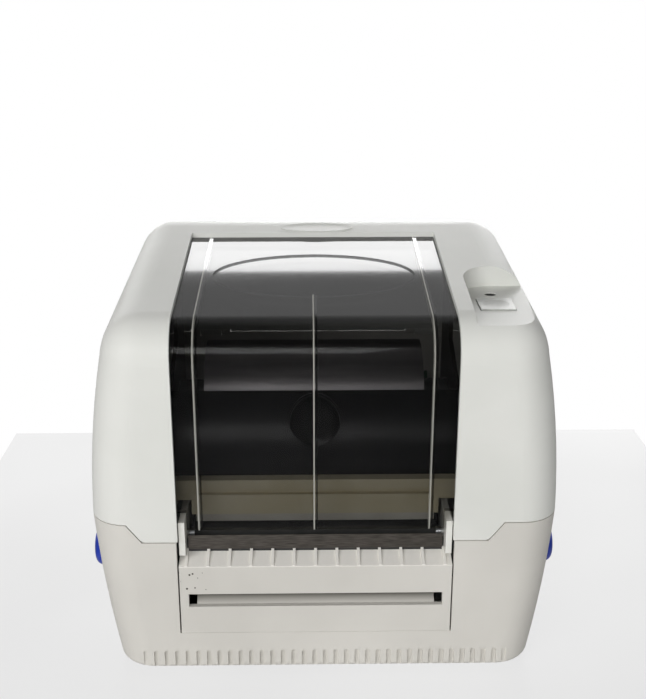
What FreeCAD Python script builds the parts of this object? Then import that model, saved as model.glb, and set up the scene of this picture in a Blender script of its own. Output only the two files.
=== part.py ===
"""Desktop thermal-transfer label printer, modelled as separate pieces in millimetres.

X runs to the viewer's right, the front faces -Y and Z is up. The origin lies under the middle of the
printer, on the surface that it stands on. Depths are counted from the front face towards the rear.
"""
import FreeCAD, Part
import math
import os
import Sketcher

V = FreeCAD.Vector

# Driving sizes in millimetres, apart from counts, angles in degrees and the gears' module.
SIZES = {
    # envelope of the two shells
    "body_width": 216, "bottom_width": 197, "crown_width": 181, "crown_height": 195,
    "base_side_radius": 620, "lid_side_radius": 438,
    "body_depth": 285, "rear_wall_depth": 279, "foot_height": 2.5,
    "split_height": 79, "parting_gap": 0.5, "wall": 2.5,
    "bend_height": 173, "bend_radius": 20, "crest_depth": 141, "crest_height": 189.3, "crest_radius": 45,
    "tail_depth": 262, "tail_height": 126, "tail_radius": 30,
    "corner_radius": 18, "bottom_radius": 3,
    # front opening, legs and mechanism centre
    "mechanism_shift": -4.5, "opening_width": 126, "opening_back": 117,
    "leg_drop": 9, "leg_bottom_width": 158, "leg_top_width": 172, "leg_corner_radius": 3.5,
    # window
    "window_thickness": 2.5, "window_lap": 4, "window_bottom": 75, "window_foot_width": 117.6,
    "window_foot_height": 84, "window_rib_width": 1.8, "window_rib_height": 0.9, "window_rib_spacing": 52.5,
    "dish_width": 97, "dish_length": 53, "dish_middle": 66, "dish_depth": 0.8,
    # control recess, feed button and status light
    "recess_left": 66, "recess_back": 69, "recess_floor": 171, "recess_corner": 14,
    "button_x": 79, "button_middle": 38, "button_width": 16, "button_length": 17, "button_height": 2.4,
    "button_flange": 1.5, "button_dish_radius": 28, "button_dish_depth": 0.7,
    "light_middle": 55, "light_diameter": 5.2, "light_sink": 0.4,
    "key_board_width": 30, "key_board_length": 44, "board_thickness": 1.6, "key_board_drop": 8,
    "key_post_diameter": 4,
    # release buttons and latches
    "release_middle": 35, "release_height": 52, "release_length": 27, "release_tall": 19,
    "release_proud": 5.9, "release_dome": 3.6, "release_flange": 2,
    "release_flange_place": 99.6, "latch_width": 10, "latch_thickness": 2.4, "latch_top": 71,
    "latch_nose_tall": 4, "tongue_inner": 101.2, "tongue_thickness": 1.8, "tongue_bottom": 66,
    "tongue_root": 92, "tongue_root_bottom": 81,
    # front panel
    "panel_bottom": 22, "panel_gap": 0.7, "panel_top": 57.5, "ledge_rise": 3, "ledge_depth": 9.2,
    "panel_wall": 2.5, "ledge_wall": 2.2, "label_rib_count": 13, "label_rib_pitch": 9.95,
    "label_rib_width": 1.3, "label_rib_height": 1.7, "slot_width": 118, "slot_bottom": 36.3,
    "slot_height": 6.7, "slot_ramp_width": 111, "slot_ramp_rise": 6, "slot_ramp_depth": 8,
    "slot_ramp_wall": 1.5, "panel_flange": 9,
    # vents
    "vent_count": 35, "vent_pitch": 5, "vent_width": 2.3, "vent_top": 12.3, "vent_depth": 1.4,
    # hinge
    "hinge_axis_depth": 280.5, "hinge_x": 74, "knuckle_radius": 4.5, "lid_knuckle_width": 14,
    "base_knuckle_width": 6, "hinge_pin_diameter": 4,
    # platen and tear bar
    "platen_depth": 24, "platen_height": 62, "platen_radius": 8, "platen_length": 114,
    "shaft_diameter": 6, "tear_bar_length": 118, "tear_bar_thickness": 1.8, "tear_bar_bottom": 62.5,
    "tear_bar_top": 69.6, "bearing_thickness": 2.8, "bearing_place": 59.8, "bearing_top": 79,
    "bearing_bottom": 62.3, "bearing_front": 2, "bearing_back": 34, "bearing_ring": 14,
    # tray
    "tray_wall": 2.5, "cheek_place": 62.8, "cheek_thickness": 3, "cheek_top": 66, "tray_front": 9.6,
    "trough_floor": 48, "ridge_front": 36, "ridge_back": 62, "ridge_top": 65, "well_front": 100,
    "well_floor": 17, "well_back": 230, "tray_back": 258, "tray_back_height": 62,
    "sensor_width": 16, "sensor_length": 9, "sensor_tall": 3,
    # gear train
    "gear_module": 1, "platen_teeth": 24, "idler_teeth": 36, "motor_teeth": 16, "gear_width": 6,
    "gear_backlash": 0.14, "gear_spread": 0.1, "idler_fall": 22, "motor_fall": 81,
    "gear_plate_thickness": 1.6, "idler_pin_diameter": 5, "motor_size": 35, "motor_length": 27,
    "motor_shaft_diameter": 5,
    # label-roll holders
    "holder_depth": 165, "holder_reach": 58, "holder_thickness": 3, "holder_width": 26,
    "roll_axis_height": 78, "neck_width": 8, "rail_height": 3,
    "hub_radius": 12, "hub_length": 8,
    # ribbon drive and print head in the lid
    "ribbon_plate_place": 69, "ribbon_plate_thickness": 2, "supply_depth": 82, "supply_height": 112,
    "rewind_depth": 46, "rewind_height": 101, "spindle_diameter": 12, "journal_diameter": 8,
    "roll_radius": 26, "roll_length": 108, "core_radius": 9, "rewind_disc_radius": 11,
    "disc_thickness": 2.5, "disc_place": 62.5, "tie_depth": 108, "tie_height": 92, "tie_diameter": 8,
    "ear_front": 86, "ear_back": 114,
    "carriage_front": 19, "carriage_back": 36, "carriage_bottom": 74.5, "carriage_top": 92,
    "carriage_step": 82, "carriage_foot_length": 116, "carriage_wall": 2.5, "head_length": 112,
    "head_thickness": 3.6, 
    "cover_front": 24, "cover_bend_height": 112, "cover_bend_depth": 28,
    "cover_top": 126, "cover_top_depth": 40, "cover_wall": 2, "scoop_width": 25,
    "scoop_tall": 30, 
    # rear sockets, board and switch
    "board_depth": 265, "board_width": 150, "board_height": 47, "usb_x": 18, "usb_width": 12,
    "usb_height": 11, "serial_x": -22, "serial_width": 31, "serial_height": 12.5, "inlet_x": 50,
    "inlet_size": 14, "inlet_bore": 6.4, "inlet_pin": 2.1, "socket_height": 30, "switch_x": -60,
    "switch_width": 15, "switch_tall": 21, "switch_bezel": 1.5, "rocker_radius": 7.6, "rocker_inset": 4,
    "rocker_pin": 3, "rocker_rise": 5.2,
    # feet and screws
    "foot_diameter": 15, "foot_inset_x": 78, "foot_inset_y": 112, "foot_sink": 1.2, "boss_diameter": 9,
    "boss_x": 46, "boss_front": 118, "boss_back": 212, "screw_diameter": 3.4, "screw_head_diameter": 6.4,
    "screw_head_height": 2,
    # clearances
    "slide_gap": 0.35, "running_gap": 0.05, "seat_gap": 0.1,
}

doc = FreeCAD.newDocument("LabelPrinter")
sheet = doc.addObject("Spreadsheet::Sheet", "Params")
nodes = {}


class Size:
    """A size that keeps its number together with the formula that ties it to the sheet."""

    def __init__(self, number, text):
        self.number = float(number)
        self.text = text

    def __add__(self, other):
        other = as_size(other)
        return Size(self.number + other.number, f"({self.text} + {other.text})")

    def __sub__(self, other):
        other = as_size(other)
        return Size(self.number - other.number, f"({self.text} - {other.text})")

    def __mul__(self, other):
        other = as_size(other)
        return Size(self.number * other.number, f"({self.text} * {other.text})")

    def __truediv__(self, other):
        other = as_size(other)
        return Size(self.number / other.number, f"({self.text} / {other.text})")

    def __neg__(self):
        return Size(-self.number, f"(-1 * {self.text})")

    __radd__ = __add__

    def __rsub__(self, other):
        return as_size(other) - self

    __rmul__ = __mul__


def as_size(value):
    return value if isinstance(value, Size) else Size(value, f"{value:.9g}")


def root(value):
    return Size(math.sqrt(value.number), f"sqrt({value.text})")


def cosine(angle):
    return Size(math.cos(math.radians(angle.number)), f"cos({angle.text})")


def sine(angle):
    return Size(math.sin(math.radians(angle.number)), f"sin({angle.text})")


class Dimensions:
    """The driving sizes as attributes, each bound to its own cell."""


d = Dimensions()
for row, (alias, number) in enumerate(SIZES.items(), start=1):
    sheet.set(f"A{row}", alias)
    sheet.set(f"B{row}", str(number))
    sheet.setAlias(f"B{row}", alias)
    setattr(d, alias, Size(number, f"Params.{alias}"))
doc.recompute()


def bind(thing, path, value):
    thing.setExpression(path, as_size(value).text)


def keep(thing, label):
    """Registers a finished sub-part under its node name."""
    thing.Label = label
    nodes[label] = thing
    return thing


# Primitives and booleans

def block(name, x, y, z):
    """A box between two places along each axis."""
    box = doc.addObject("Part::Box", name)
    for side, axis, (low, high) in (("Length", "x", x), ("Width", "y", y), ("Height", "z", z)):
        bind(box, side, as_size(high) - low)
        bind(box, f"Placement.Base.{axis}", low)
    return box


TURNS = {
    "x": FreeCAD.Rotation(V(0, 1, 0), 90),
    "y": FreeCAD.Rotation(V(1, 0, 0), -90),
    "z": FreeCAD.Rotation(),
}


def rod(name, axis, diameter, start, end, at):
    """A cylinder along one axis from start to end, centred on the two other coordinates."""
    bar = doc.addObject("Part::Cylinder", name)
    bar.Placement = FreeCAD.Placement(V(), TURNS[axis])
    bind(bar, "Radius", as_size(diameter) / 2)
    bind(bar, "Height", as_size(end) - start)
    across = iter(at)
    for other in "xyz":
        bind(bar, f"Placement.Base.{other}", start if other == axis else next(across))
    return bar


def fuse(name, things):
    joined = doc.addObject("Part::MultiFuse", name)
    joined.Shapes = things
    return joined


def cut(name, base, tools):
    rest = doc.addObject("Part::Cut", name)
    rest.Base = base
    rest.Tool = tools[0] if len(tools) == 1 else fuse(name + "Tools", tools)
    return rest


# Sketches and features

def new_body(name):
    return doc.addObject("PartDesign::Body", name)


def new_sketch(body, name, role, offset=None):
    """A sketch on one of the body's own origin planes, moved along the plane's normal."""
    drawing = body.newObject("Sketcher::SketchObject", name)
    plane = [item for item in body.Origin.OriginFeatures if item.Role == role][0]
    drawing.AttachmentSupport = [(plane, "")]
    drawing.MapMode = "FlatFace"
    if offset is not None:
        bind(drawing, "AttachmentOffset.Base.z", offset)
    return drawing


def pin_point(drawing, line, end, point):
    """Fixes one end of a line to its two coordinates in the sketch."""
    for kind, axis, value in (("DistanceX", -2, point[0]), ("DistanceY", -1, point[1])):
        value = as_size(value)
        if abs(value.number) < 1e-9:
            drawing.addConstraint(Sketcher.Constraint("PointOnObject", line, end, axis))
            continue
        index = drawing.addConstraint(Sketcher.Constraint(kind, -1, 1, line, end, value.number))
        bind(drawing, f"Constraints[{index}]", value)


def outline(drawing, corners):
    """A closed outline drawn anticlockwise. A third entry makes the side after a corner an outward arc."""
    first = drawing.GeometryCount
    count = len(corners)
    ends = [V(as_size(c[0]).number, as_size(c[1]).number, 0) for c in corners]
    for index, corner in enumerate(corners):
        start, end = ends[index], ends[(index + 1) % count]
        if len(corner) == 2:
            drawing.addGeometry(Part.LineSegment(start, end))
            continue
        radius = as_size(corner[2])
        chord = end - start
        rise = math.sqrt(max(radius.number ** 2 - (chord.Length / 2) ** 2, 0))
        centre = (start + end) * 0.5 + V(-chord.y, chord.x, 0).normalize() * rise
        circle = Part.Circle(centre, V(0, 0, 1), radius.number)
        turns = [math.atan2(p.y - centre.y, p.x - centre.x) for p in (start, end)]
        drawing.addGeometry(Part.ArcOfCircle(circle, turns[0], turns[1]))
    for index in range(count):
        following = first + (index + 1) % count
        drawing.addConstraint(Sketcher.Constraint("Coincident", first + index, 2, following, 1))
    for index, corner in enumerate(corners):
        pin_point(drawing, first + index, 1, corner)
        if len(corner) == 3:
            radius = as_size(corner[2])
            chord = ends[(index + 1) % count] - ends[index]
            if near(chord.Length, radius * 2):
                level = "Horizontal" if abs(chord.x) > abs(chord.y) else "Vertical"
                drawing.addConstraint(Sketcher.Constraint(level, first + index, 3, first + index, 1))
                continue
            place = drawing.addConstraint(Sketcher.Constraint("Radius", first + index, radius.number))
            bind(drawing, f"Constraints[{place}]", radius)


def rectangle(drawing, x, y):
    outline(drawing, [(x[0], y[0]), (x[1], y[0]), (x[1], y[1]), (x[0], y[1])])


def circle(drawing, x, y, diameter):
    """A circle tied to its centre and diameter."""
    radius = as_size(diameter) / 2
    x, y = as_size(x), as_size(y)
    index = drawing.addGeometry(Part.Circle(V(x.number, y.number, 0), V(0, 0, 1), radius.number))
    place = drawing.addConstraint(Sketcher.Constraint("Radius", index, radius.number))
    bind(drawing, f"Constraints[{place}]", radius)
    pin_point(drawing, index, 3, (x, y))


def pad(body, drawing, length, both=False, back=False):
    feature = body.newObject("PartDesign::Pad", drawing.Name + "Pad")
    feature.Profile = drawing
    bind(feature, "Length", length)
    feature.Midplane = both
    feature.Reversed = back
    return feature


def pocket(body, drawing, length=None, both=False, back=False):
    """Cuts the sketch out, right through unless a length is given."""
    feature = body.newObject("PartDesign::Pocket", drawing.Name + "Pocket")
    feature.Profile = drawing
    if length is None:
        feature.Type = "ThroughAll"
    else:
        bind(feature, "Length", length)
    feature.Midplane = both
    feature.Reversed = back
    return feature


def edge_names(feature, wanted):
    return [f"Edge{i}" for i, edge in enumerate(feature.Shape.Edges, start=1) if wanted(edge)]


def fillet(body, feature, name, radius, wanted):
    """Rounds the edges of a feature that the test picks out."""
    doc.recompute()
    rounding = body.newObject("PartDesign::Fillet", name)
    rounding.Base = (feature, edge_names(feature, wanted))
    bind(rounding, "Radius", radius)
    return rounding


def near(value, size, slack=0.01):
    return abs(value - as_size(size).number) < slack


def along(edge, axis):
    """Whether an edge is straight along one axis."""
    ends = [vertex.Point for vertex in edge.Vertexes]
    if len(ends) < 2 or not isinstance(edge.Curve, Part.Line):
        return False
    step = ends[1] - ends[0]
    return all(abs(getattr(step, other)) < 1e-6 for other in "xyz" if other != axis)


def hollow(body, feature, name, thickness, opened):
    """Turns a solid into a shell, open at the faces that the test picks out."""
    doc.recompute()
    faces = [f"Face{i}" for i, face in enumerate(feature.Shape.Faces, start=1) if opened(face)]
    shell = body.newObject("PartDesign::Thickness", name)
    shell.Base = (feature, faces)
    bind(shell, "Value", thickness)
    shell.Reversed = True
    return shell


# Places shared by several pieces

front = -d.body_depth / 2
rear = front + d.rear_wall_depth
mid = d.mechanism_shift
half_gap = d.parting_gap / 2
lid_floor = d.split_height + half_gap
base_rim = d.split_height - half_gap
leg_floor = d.split_height - d.leg_drop + half_gap
hinge_y = front + d.hinge_axis_depth
crest_slope = (d.crest_height - d.bend_height) / d.crest_depth
slope_length = root(crest_slope * crest_slope + 1)
inner_floor = d.foot_height + d.wall
platen_y = front + d.platen_depth
holder_y = front + d.holder_depth


def at_depth(depth):
    return front + depth


def top_height(depth, inset):
    """Height of the sloping lid top, or of a plane that lies under it by the inset."""
    return d.bend_height + crest_slope * depth - inset * slope_length


def base_half_width(height):
    """Half width of the base's outside at a height, along the chord of its bowed side."""
    share = (as_size(height) - d.foot_height) / (d.split_height - d.foot_height)
    return (d.bottom_width + (d.body_width - d.bottom_width) * share) / 2


def side_frame(drawing, corners):
    """A frame round the front profile, whose pocket leaves that profile standing."""
    wide, tall = d.body_width, d.body_depth
    rectangle(drawing, (-wide, wide), (-tall, tall))
    outline(drawing, corners)


def is_side_edge(edge, floor):
    """An edge where a bowed side meets the profile, apart from those on the parting face."""
    ends = [vertex.Point for vertex in edge.Vertexes]
    same_side = all(abs(p.x) > 0.3 * d.body_width.number for p in ends) and ends[0].x * ends[-1].x > 0
    return same_side and not all(near(p.z, floor) for p in ends)


def hinge_sides():
    return (("Left", -d.hinge_x), ("Right", d.hinge_x))


def knuckle(body, name, x, diameter, width, solid):
    """Adds or cuts a cylinder round the hinge axis."""
    drawing = new_sketch(body, name, "YZ_Plane", x)
    circle(drawing, hinge_y, d.split_height, diameter)
    return pad(body, drawing, width, both=True) if solid else pocket(body, drawing, width, both=True)


# Lid

def lid_shell():
    """Bowed clamshell lid with its window opening, control recess, front legs, knuckles and latch tongues."""
    body = new_body("LidShell")
    side = new_sketch(body, "LidSide", "YZ_Plane")
    outline(side, [
        (front, lid_floor), (rear, lid_floor), (at_depth(d.tail_depth), d.tail_height),
        (at_depth(d.crest_depth), d.crest_height), (front, d.bend_height),
    ])
    feature = pad(body, side, d.body_width * 2, both=True)
    for name, depth, height, radius in (
        ("LidBend", as_size(0), d.bend_height, d.bend_radius),
        ("LidCrest", d.crest_depth, d.crest_height, d.crest_radius),
        ("LidTail", d.tail_depth, d.tail_height, d.tail_radius),
    ):
        feature = fillet(body, feature, name, radius, lambda e: along(e, "x")
                         and near(e.Vertexes[0].Y, at_depth(depth)) and near(e.Vertexes[0].Z, height))
    face = new_sketch(body, "LidFront", "XZ_Plane")
    side_frame(face, [
        (-d.body_width / 2, d.split_height), (d.body_width / 2, d.split_height, d.lid_side_radius),
        (d.crown_width / 2, d.crown_height), (-d.crown_width / 2, d.crown_height, d.lid_side_radius),
    ])
    feature = pocket(body, face, both=True)
    feature = fillet(body, feature, "LidEdges", d.corner_radius, lambda e: is_side_edge(e, lid_floor))

    recess = new_sketch(body, "ControlRecess", "XY_Plane", d.recess_floor)
    rectangle(recess, (d.recess_left, d.body_width), (front - d.wall, at_depth(d.recess_back)))
    feature = pocket(body, recess, back=True)
    feature = fillet(body, feature, "RecessCorner", d.recess_corner, lambda e: along(e, "z")
                     and near(e.Vertexes[0].X, d.recess_left)
                     and near(e.Vertexes[0].Y, at_depth(d.recess_back)))
    hollow(body, feature, "LidHollow", d.wall, lambda f: near(f.CenterOfMass.z, lid_floor))

    opening = new_sketch(body, "WindowOpening", "XY_Plane", d.crown_height)
    rectangle(opening, (mid - d.opening_width / 2, mid + d.opening_width / 2),
              (front - d.wall, at_depth(d.opening_back)))
    pocket(body, opening)
    legs = new_sketch(body, "Legs", "XZ_Plane", -front)
    for side in (-1, 1):
        corners = [
            (mid + side * d.opening_width / 2, leg_floor), (mid + side * d.leg_bottom_width / 2, leg_floor),
            (mid + side * d.leg_top_width / 2, lid_floor), (mid + side * d.leg_top_width / 2, lid_floor + d.wall),
            (mid + side * d.opening_width / 2, lid_floor + d.wall),
        ]
        outline(legs, corners[::side])
    feature = pad(body, legs, d.wall, back=True)
    fillet(body, feature, "LegCorners", d.leg_corner_radius, lambda e: along(e, "y")
           and near(e.Vertexes[0].Z, leg_floor)
           and near(abs(e.Vertexes[0].X - mid.number), d.leg_bottom_width / 2))
    holes = new_sketch(body, "ControlHoles", "XY_Plane", d.crown_height)
    rectangle(holes, *button_span(d.slide_gap))
    circle(holes, d.button_x, at_depth(d.light_middle), d.light_diameter + d.slide_gap)
    pocket(body, holes, d.crown_height - d.recess_floor + d.wall * 2)
    for side in (-1, 1):
        tongue = new_sketch(body, f"Tongue{side + 1}", "XZ_Plane", -at_depth(d.release_middle - d.latch_width / 2))
        inner, outer = side * d.tongue_inner, side * (d.tongue_inner + d.tongue_thickness)
        wall_line = side * (d.body_width / 2 - d.wall + d.parting_gap)
        outline(tongue, [
            (inner, d.tongue_bottom), (outer, d.tongue_bottom), (outer, d.tongue_root_bottom),
            (wall_line, d.tongue_root_bottom), (wall_line, d.tongue_root), (inner, d.tongue_root),
        ][::side])
        pad(body, tongue, d.latch_width, back=True)
    for name, x in hinge_sides():
        room = d.lid_knuckle_width + d.base_knuckle_width * 2 + d.parting_gap * 4
        knuckle(body, "LidClear" + name, x, (d.knuckle_radius + d.parting_gap) * 2, room, False)
        arm = new_sketch(body, "LidArm" + name, "YZ_Plane", x)
        rectangle(arm, (rear - d.wall, hinge_y), (d.split_height, d.split_height + d.knuckle_radius * 2))
        pad(body, arm, d.lid_knuckle_width, both=True)
        knuckle(body, "LidKnuckle" + name, x, d.knuckle_radius * 2, d.lid_knuckle_width, True)
        knuckle(body, "LidBore" + name, x, d.hinge_pin_diameter + d.running_gap * 2, room, False)
    keep(body, "lid_shell")


def button_span(gap):
    """Sides of the feed button, spread by a gap."""
    return (
        (d.button_x - d.button_width / 2 - gap, d.button_x + d.button_width / 2 + gap),
        (at_depth(d.button_middle - d.button_length / 2) - gap, at_depth(d.button_middle + d.button_length / 2) + gap),
    )


def sheet_strip(name, outer, inner, bottom, back, x, width):
    """A strip that follows the lid's front, bend and top between two insets from the lid's outside."""
    body = new_body(name)
    drawing = new_sketch(body, name + "Side", "YZ_Plane", x)
    outline(drawing, [
        (at_depth(outer), bottom), (at_depth(inner), bottom), (at_depth(inner), top_height(inner, inner)),
        (at_depth(back), top_height(back, inner)), (at_depth(back), top_height(back, outer)),
        (at_depth(outer), top_height(outer, outer)),
    ])
    feature = pad(body, drawing, width, both=True)
    for part, inset in (("Outer", outer), ("Inner", inner)):
        place = (at_depth(inset), top_height(inset, inset))
        feature = fillet(body, feature, name + part, d.bend_radius - inset, lambda e: along(e, "x")
                         and near(e.Vertexes[0].Y, place[0]) and near(e.Vertexes[0].Z, place[1]))
    return body


def lid_window():
    """Smoked window bonded behind the lid's opening, with raised ribs and an oval dish."""
    outer, inner = d.wall, d.wall + d.window_thickness
    dish_front = d.dish_middle - d.dish_length / 2
    body = sheet_strip("WindowSheet", outer, inner, d.window_bottom, d.opening_back + d.window_lap, mid,
                       d.opening_width + d.window_lap * 2)
    foot = new_sketch(body, "WindowFoot", "XZ_Plane")
    for side in (-1, 1):
        edges = (mid + side * d.window_foot_width / 2, mid + side * d.opening_width)
        rectangle(foot, edges[::side], (d.foot_height, d.window_foot_height))
    pocket(body, foot, both=True)
    ribs = []
    for place, back in ((-1, d.opening_back - d.window_lap), (0, dish_front), (1, d.opening_back - d.window_lap)):
        ribs.append(sheet_strip(f"WindowRib{place + 1}", outer - d.window_rib_height, outer + d.window_rib_height,
                                d.window_bottom + d.window_rib_height, back, mid + place * d.window_rib_spacing,
                                d.window_rib_width))
    dish = doc.addObject("Part::Feature", "WindowDish")
    oval = Part.Ellipse(V(), d.dish_width.number / 2, d.dish_length.number / 2).toShape()
    dish.Shape = Part.Face(Part.Wire([oval])).extrude(V(0, 0, d.bend_radius.number))
    lean = FreeCAD.Rotation(V(1, 0, 0), math.degrees(math.atan(crest_slope.number)))
    floor = top_height(d.dish_middle, outer + d.dish_depth)
    dish.Placement = FreeCAD.Placement(V(mid.number, at_depth(d.dish_middle).number, floor.number), lean)
    keep(cut("Window", fuse("RibbedWindow", [body] + ribs), [dish]), "lid_window")


def feed_button():
    """Square key with a dished top and a flange that keeps it under the recess floor."""
    x, y = button_span(0)
    under = d.recess_floor - d.wall - d.slide_gap
    cap = block("ButtonCap", x, y, (under - d.button_flange, under - d.button_flange + d.button_height + d.wall))
    flange_x, flange_y = button_span(d.button_flange)
    flange = block("ButtonFlange", flange_x, flange_y, (under - d.button_flange, under))
    dish = doc.addObject("Part::Sphere", "ButtonDish")
    bind(dish, "Radius", d.button_dish_radius)
    bind(dish, "Placement.Base.x", d.button_x)
    bind(dish, "Placement.Base.y", at_depth(d.button_middle))
    bind(dish, "Placement.Base.z", under - d.button_flange + d.button_height + d.wall + d.button_dish_radius
         - d.button_dish_depth)
    keep(cut("FeedButton", fuse("ButtonBlank", [cap, flange]), [dish]), "feed_button")


def key_board():
    """Small board under the feed key with its posts, and the light pipe above it."""
    top = d.recess_floor - d.wall - d.key_board_drop
    middle = at_depth((d.button_middle + d.light_middle) / 2)
    board = block("KeyBoard", (d.button_x - d.key_board_width / 2, d.button_x + d.key_board_width / 2),
                  (middle - d.key_board_length / 2, middle + d.key_board_length / 2), (top - d.board_thickness, top))
    posts = []
    for side in (-1, 1):
        posts.append(rod(f"KeyPost{side + 1}", "z", d.key_post_diameter, top, d.recess_floor - d.wall,
                         (d.button_x + side * (d.key_board_width - d.key_post_diameter) / 2,
                          middle + d.key_board_length / 2 - d.key_post_diameter)))
    keep(fuse("KeyBoardWithPosts", [board] + posts), "key_board")
    pipe = rod("LightPipe", "z", d.light_diameter, top, d.recess_floor - d.light_sink,
               (d.button_x, at_depth(d.light_middle)))
    keep(pipe, "light_pipe")


# Base

def base_housing():
    """Bowed tray-shaped base with vents, front gap, button holes, rear cut-outs, knuckles and bosses."""
    body = new_body("BaseHousing")
    side = new_sketch(body, "BaseSide", "YZ_Plane")
    rectangle(side, (front, rear), (d.foot_height, base_rim))
    pad(body, side, d.body_width * 2, both=True)
    face = new_sketch(body, "BaseFront", "XZ_Plane")
    side_frame(face, [
        (-d.bottom_width / 2, d.foot_height), (d.bottom_width / 2, d.foot_height, d.base_side_radius),
        (d.body_width / 2, d.split_height), (-d.body_width / 2, d.split_height, d.base_side_radius),
    ])
    feature = pocket(body, face, both=True)
    feature = fillet(body, feature, "BaseEdges", d.corner_radius,
                     lambda e: is_side_edge(e, base_rim) and not near(e.Vertexes[0].Z, e.Vertexes[-1].Z))
    feature = fillet(body, feature, "BaseBottom", d.bottom_radius,
                     lambda e: all(near(v.Z, d.foot_height) for v in e.Vertexes))
    hollow(body, feature, "BaseHollow", d.wall, lambda f: near(f.CenterOfMass.z, base_rim))

    gap = new_sketch(body, "FrontGap", "XZ_Plane", -front)
    above = base_rim + d.wall
    step = d.split_height - d.leg_drop - half_gap
    panel_half = d.opening_width / 2 + d.panel_gap
    lower = d.leg_bottom_width / 2 + half_gap
    upper = lower + (d.leg_top_width - d.leg_bottom_width) / 2 * (above - step) / d.leg_drop
    outline(gap, [
        (mid - panel_half, d.panel_bottom), (mid + panel_half, d.panel_bottom), (mid + panel_half, step),
        (mid + lower, step), (mid + upper, above), (mid - upper, above), (mid - lower, step),
        (mid - panel_half, step),
    ])
    pocket(body, gap, d.wall * 2, back=False)
    vent = new_sketch(body, "Vent", "XZ_Plane", -front)
    first = -d.vent_pitch * (d.vent_count - 1) / 2
    outline(vent, [
        (first - d.vent_width / 2, as_size(0.1)), (first + d.vent_width / 2, as_size(0.1)),
        (first + d.vent_width / 2, d.vent_top - d.vent_width / 2, d.vent_width / 2),
        (first - d.vent_width / 2, d.vent_top - d.vent_width / 2),
    ])
    vents = pocket(body, vent, d.vent_depth)
    repeat(body, vents, "VentRow", d.vent_pitch, d.vent_count)
    holes = new_sketch(body, "ReleaseHoles", "YZ_Plane")
    release_outline(holes, d.slide_gap)
    pocket(body, holes, both=True)
    back = new_sketch(body, "RearHoles", "XZ_Plane", -rear)
    for x, width, height in (
        (d.usb_x, d.usb_width, d.usb_height), (d.serial_x, d.serial_width, d.serial_height),
        (d.inlet_x, d.inlet_size, d.inlet_size), (d.switch_x, d.switch_width, d.switch_tall),
    ):
        rectangle(back, (x - width / 2 - d.seat_gap, x + width / 2 + d.seat_gap),
                  (d.socket_height - height / 2 - d.seat_gap, d.socket_height + height / 2 + d.seat_gap))
    pocket(body, back, d.wall * 2, back=True)
    bosses = new_sketch(body, "TrayBosses", "XY_Plane", inner_floor - d.wall / 2)
    for x, y in boss_places():
        circle(bosses, x, y, d.boss_diameter)
    pad(body, bosses, d.well_floor - d.tray_wall - inner_floor + d.wall / 2)
    bores = new_sketch(body, "ScrewBores", "XY_Plane", d.foot_height)
    heads = new_sketch(body, "ScrewHeads", "XY_Plane", d.foot_height)
    for x, y in boss_places():
        circle(bores, x, y, d.screw_diameter + d.seat_gap)
        circle(heads, x, y, d.screw_head_diameter + d.seat_gap * 2)
    pocket(body, bores, back=True)
    pocket(body, heads, d.screw_head_height, back=True)
    feet = new_sketch(body, "FootSeats", "XY_Plane", d.foot_height)
    for x, y in foot_places():
        circle(feet, x, y, d.foot_diameter + d.seat_gap * 2)
    pocket(body, feet, d.foot_sink, back=True)
    for name, x in hinge_sides():
        middle = d.lid_knuckle_width + d.parting_gap * 2
        whole = middle + d.base_knuckle_width * 2
        knuckle(body, "BaseKnuckle" + name, x, d.knuckle_radius * 2, whole, True)
        knuckle(body, "BaseClear" + name, x, (d.knuckle_radius + d.parting_gap) * 2, middle, False)
        knuckle(body, "BaseBore" + name, x, d.hinge_pin_diameter + d.running_gap, whole * 2, False)
    keep(body, "base_housing")


def repeat(body, feature, name, pitch, count):
    """Repeats a feature along X at an even pitch."""
    row = body.newObject("PartDesign::LinearPattern", name)
    row.Originals = [feature]
    axis = [item for item in body.Origin.OriginFeatures if item.Role == "X_Axis"][0]
    row.Direction = (axis, [""])
    bind(row, "Length", pitch * (count - 1))
    bind(row, "Occurrences", count)
    body.Tip = row
    return row


def release_outline(drawing, gap):
    """Long round outline of a release button, spread by a gap."""
    radius = d.release_tall / 2 + gap
    run = (d.release_length - d.release_tall) / 2
    y, z = at_depth(d.release_middle), d.release_height
    outline(drawing, [
        (y - run, z - radius), (y + run, z - radius, radius), (y + run, z + radius), (y - run, z + radius, radius),
    ])


def boss_places():
    return [(mid + side * d.boss_x, at_depth(depth)) for side in (-1, 1) for depth in (d.boss_front, d.boss_back)]


def foot_places():
    return [(x * d.foot_inset_x, y * d.foot_inset_y - d.wall) for x in (-1, 1) for y in (-1, 1)]


def rubber_feet():
    feet = [rod(f"Foot{i}", "z", d.foot_diameter, 0, d.foot_height + d.foot_sink, place)
            for i, place in enumerate(foot_places())]
    keep(group("Feet", feet), "rubber_feet")


def group(name, things):
    """Identical loose solids that share one node."""
    bundle = doc.addObject("Part::Compound", name)
    bundle.Links = things
    return bundle


def base_screws():
    screws = []
    for i, place in enumerate(boss_places()):
        head = rod(f"ScrewHead{i}", "z", d.screw_head_diameter, d.foot_height, d.foot_height + d.screw_head_height,
                   place)
        shank = rod(f"ScrewShank{i}", "z", d.screw_diameter, d.foot_height, d.well_floor - d.tray_wall, place)
        screws.append(fuse(f"Screw{i}", [head, shank]))
    keep(group("Screws", screws), "base_screws")


def hinge_pins():
    pins = []
    for name, x in hinge_sides():
        half = d.lid_knuckle_width / 2 + d.parting_gap + d.base_knuckle_width
        pins.append(rod("HingePin" + name, "x", d.hinge_pin_diameter, x - half, x + half,
                        (hinge_y, d.split_height)))
    keep(group("HingePins", pins), "hinge_pins")


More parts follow.
